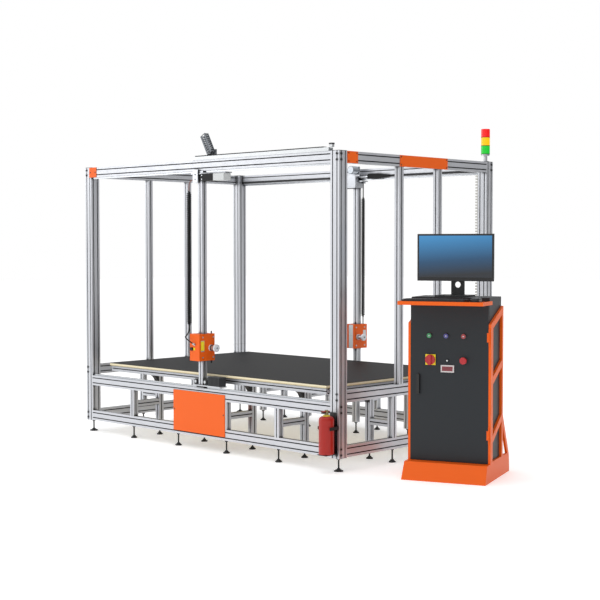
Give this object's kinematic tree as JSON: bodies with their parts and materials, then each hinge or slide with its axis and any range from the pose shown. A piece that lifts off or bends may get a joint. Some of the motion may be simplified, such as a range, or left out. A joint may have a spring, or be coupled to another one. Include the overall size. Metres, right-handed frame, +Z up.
{
  "type": "hot-wire foam cutting machine",
  "caption": "Open aluminium-frame CNC hot-wire foam cutter: table, two travelling towers with wire heads, and a separate control cabinet with a computer.",
  "frame": {"origin": "centre of the whole machine's footprint, cabinet included, on the floor", "axes": "+X along the machine's long side towards the cabinet, +Y from the front to the back, +Z up"},
  "size_m": [3.8474, 1.888, 2.4],
  "materials": {
    "aluminium": "clear anodised extrusion",
    "table_aluminium": "clear anodised extrusion",
    "brace_black": "black painted casting",
    "wood": "sanded board",
    "mat": "matt rubber sheet",
    "zinc": "bright zinc",
    "orange_sheet": "orange powder coat",
    "head_orange": "orange powder coat",
    "tray_steel": "galvanised sheet",
    "duct_grey": "moulded duct",
    "guide_steel": "ground bearing steel",
    "belt": "polyurethane belt",
    "lamp_pole": "brushed tube",
    "green_lens": "clear tinted lens",
    "amber_lens": "clear tinted lens",
    "red_lens": "clear tinted lens",
    "bracket_black": "black powder coat",
    "extinguisher_red": "gloss enamel",
    "trolley": "machined plate",
    "motor": "black motor paint",
    "carriage": "black anodised block",
    "reel": "moulded reel",
    "fittings": "mixed small fittings",
    "wire": "resistance wire",
    "cable": "coiled cable sheath",
    "cabinet_grey": "textured dark powder coat",
    "plinth_orange": "orange powder coat",
    "handle_black": "glass-filled plastic",
    "green_button": "moulded cap",
    "blue_button": "moulded cap",
    "red_button": "moulded cap",
    "gear": "control gear",
    "black_plastic": "moulded housing"
  },
  "bodies": {
    "frame": {"corner_posts": "aluminium", "top_beams": "aluminium", "middle_rails": "aluminium", "lower_rails": "aluminium", "studs": "aluminium", "table_legs": "table_aluminium", "leg_braces": "brace_black", "table_frame": "table_aluminium", "table_board": "wood", "table_mat": "mat", "levelling_pads": "zinc", "frame_fasteners": "zinc", "orange_covers": "orange_sheet", "chain_tray": "tray_steel", "cable_riser": "duct_grey", "guide_rails": "guide_steel", "drive_belts": "belt", "lamp_pole": "lamp_pole", "green_lens": "green_lens", "amber_lens": "amber_lens", "red_lens": "red_lens", "extinguisher_bracket": "bracket_black", "plinth": "plinth_orange", "cabinet_shell": "cabinet_grey", "side_frames": "plinth_orange", "control_gear": "gear", "keyboard_shelf": "plinth_orange", "keyboard": "black_plastic", "mouse": "black_plastic", "monitor_stand": "black_plastic"},
    "extinguisher": {"extinguisher": "extinguisher_red"},
    "front_tower": {"front_column": "aluminium", "front_trolleys": "trolley", "front_motors": "motor", "chain_arm": "tray_steel", "front_coil_cable": "cable"},
    "rear_tower": {"rear_column": "aluminium", "rear_trolleys": "trolley", "rear_motors": "motor", "rear_coil_cable": "cable"},
    "front_head": {"front_head_cover": "head_orange", "front_head_block": "carriage", "front_head_fittings": "fittings", "front_cable_tail": "cable", "hot_wire": "wire"},
    "rear_head": {"rear_head_cover": "head_orange", "rear_head_block": "carriage", "rear_head_fittings": "fittings", "rear_cable_tail": "cable"},
    "front_reel": {"front_wire_reel": "reel"},
    "rear_reel": {"rear_wire_reel": "reel"},
    "door": {"cabinet_door": "cabinet_grey", "panel_fittings": "fittings"},
    "start_button": {"start_button": "green_button"},
    "pause_button": {"pause_button": "blue_button"},
    "stop_button": {"stop_button": "red_button"},
    "emergency_stop": {"emergency_stop": "red_button"},
    "main_switch": {"main_switch": "red_button"},
    "door_handle": {"door_handle": "handle_black"},
    "monitor": {"monitor": "black_plastic"}
  },
  "joints": [
    {"name": "front_tower_travel", "type": "slide", "parent": "frame", "child": "front_tower", "axis": [1, 0, 0], "range_m": [-1.08, 0.86]},
    {"name": "rear_tower_travel", "type": "slide", "parent": "frame", "child": "rear_tower", "axis": [1, 0, 0], "range_m": [-1.08, 0.86]},
    {"name": "front_head_lift", "type": "slide", "parent": "front_tower", "child": "front_head", "axis": [0, 0, 1], "range_m": [0, 0.75], "deforming": ["front_coil_cable"]},
    {"name": "rear_head_lift", "type": "slide", "parent": "rear_tower", "child": "rear_head", "axis": [0, 0, 1], "range_m": [0, 0.75], "deforming": ["rear_coil_cable"]},
    {"name": "front_reel_spin", "type": "hinge", "parent": "front_head", "child": "front_reel", "pos_m": [-0.4147, -0.767, 0.76], "axis": [1, 0, 0], "continuous": true},
    {"name": "rear_reel_spin", "type": "hinge", "parent": "rear_head", "child": "rear_reel", "pos_m": [-0.3747, 0.821, 0.76], "axis": [1, 0, 0], "continuous": true},
    {"name": "extinguisher_lift", "type": "slide", "parent": "frame", "child": "extinguisher", "axis": [0, 0, 1], "range_m": [0, 0.32]},
    {"name": "door_hinge", "type": "hinge", "parent": "frame", "child": "door", "pos_m": [1.83621, -0.41289, 0.615], "axis": [0, 0, 1], "range_deg": [0, 105]},
    {"name": "handle_turn", "type": "hinge", "parent": "door", "child": "door_handle", "pos_m": [1.39361, -0.58814, 0.616], "axis": [0.3584, -0.9336, 0], "range_deg": [0, 90]},
    {"name": "start_button_press", "type": "slide", "parent": "door", "child": "start_button", "axis": [-0.3584, 0.9336, 0], "range_m": [0, 0.004], "stiffness_N_per_m": 600, "springref_m": -0.002},
    {"name": "pause_button_press", "type": "slide", "parent": "door", "child": "pause_button", "axis": [-0.3584, 0.9336, 0], "range_m": [0, 0.004], "stiffness_N_per_m": 600, "springref_m": -0.002},
    {"name": "stop_button_press", "type": "slide", "parent": "door", "child": "stop_button", "axis": [-0.3584, 0.9336, 0], "range_m": [0, 0.004], "stiffness_N_per_m": 600, "springref_m": -0.002},
    {"name": "emergency_stop_press", "type": "slide", "parent": "door", "child": "emergency_stop", "axis": [-0.3584, 0.9336, 0], "range_m": [0, 0.006], "stiffness_N_per_m": 800, "springref_m": -0.002},
    {"name": "main_switch_turn", "type": "hinge", "parent": "door", "child": "main_switch", "pos_m": [1.47311, -0.56084, 0.777], "axis": [0.3584, -0.9336, 0], "range_deg": [0, 90]},
    {"name": "monitor_tilt", "type": "hinge", "parent": "frame", "child": "monitor", "pos_m": [1.49596, -0.30785, 1.44], "axis": [-0.9336, -0.3584, 0], "range_deg": [-5, 20]}
  ],
  "couplings": [
    {"joint": "rear_tower_travel", "follows": "front_tower_travel", "ratio": 1},
    {"joint": "rear_head_lift", "follows": "front_head_lift", "ratio": 1}
  ]
}
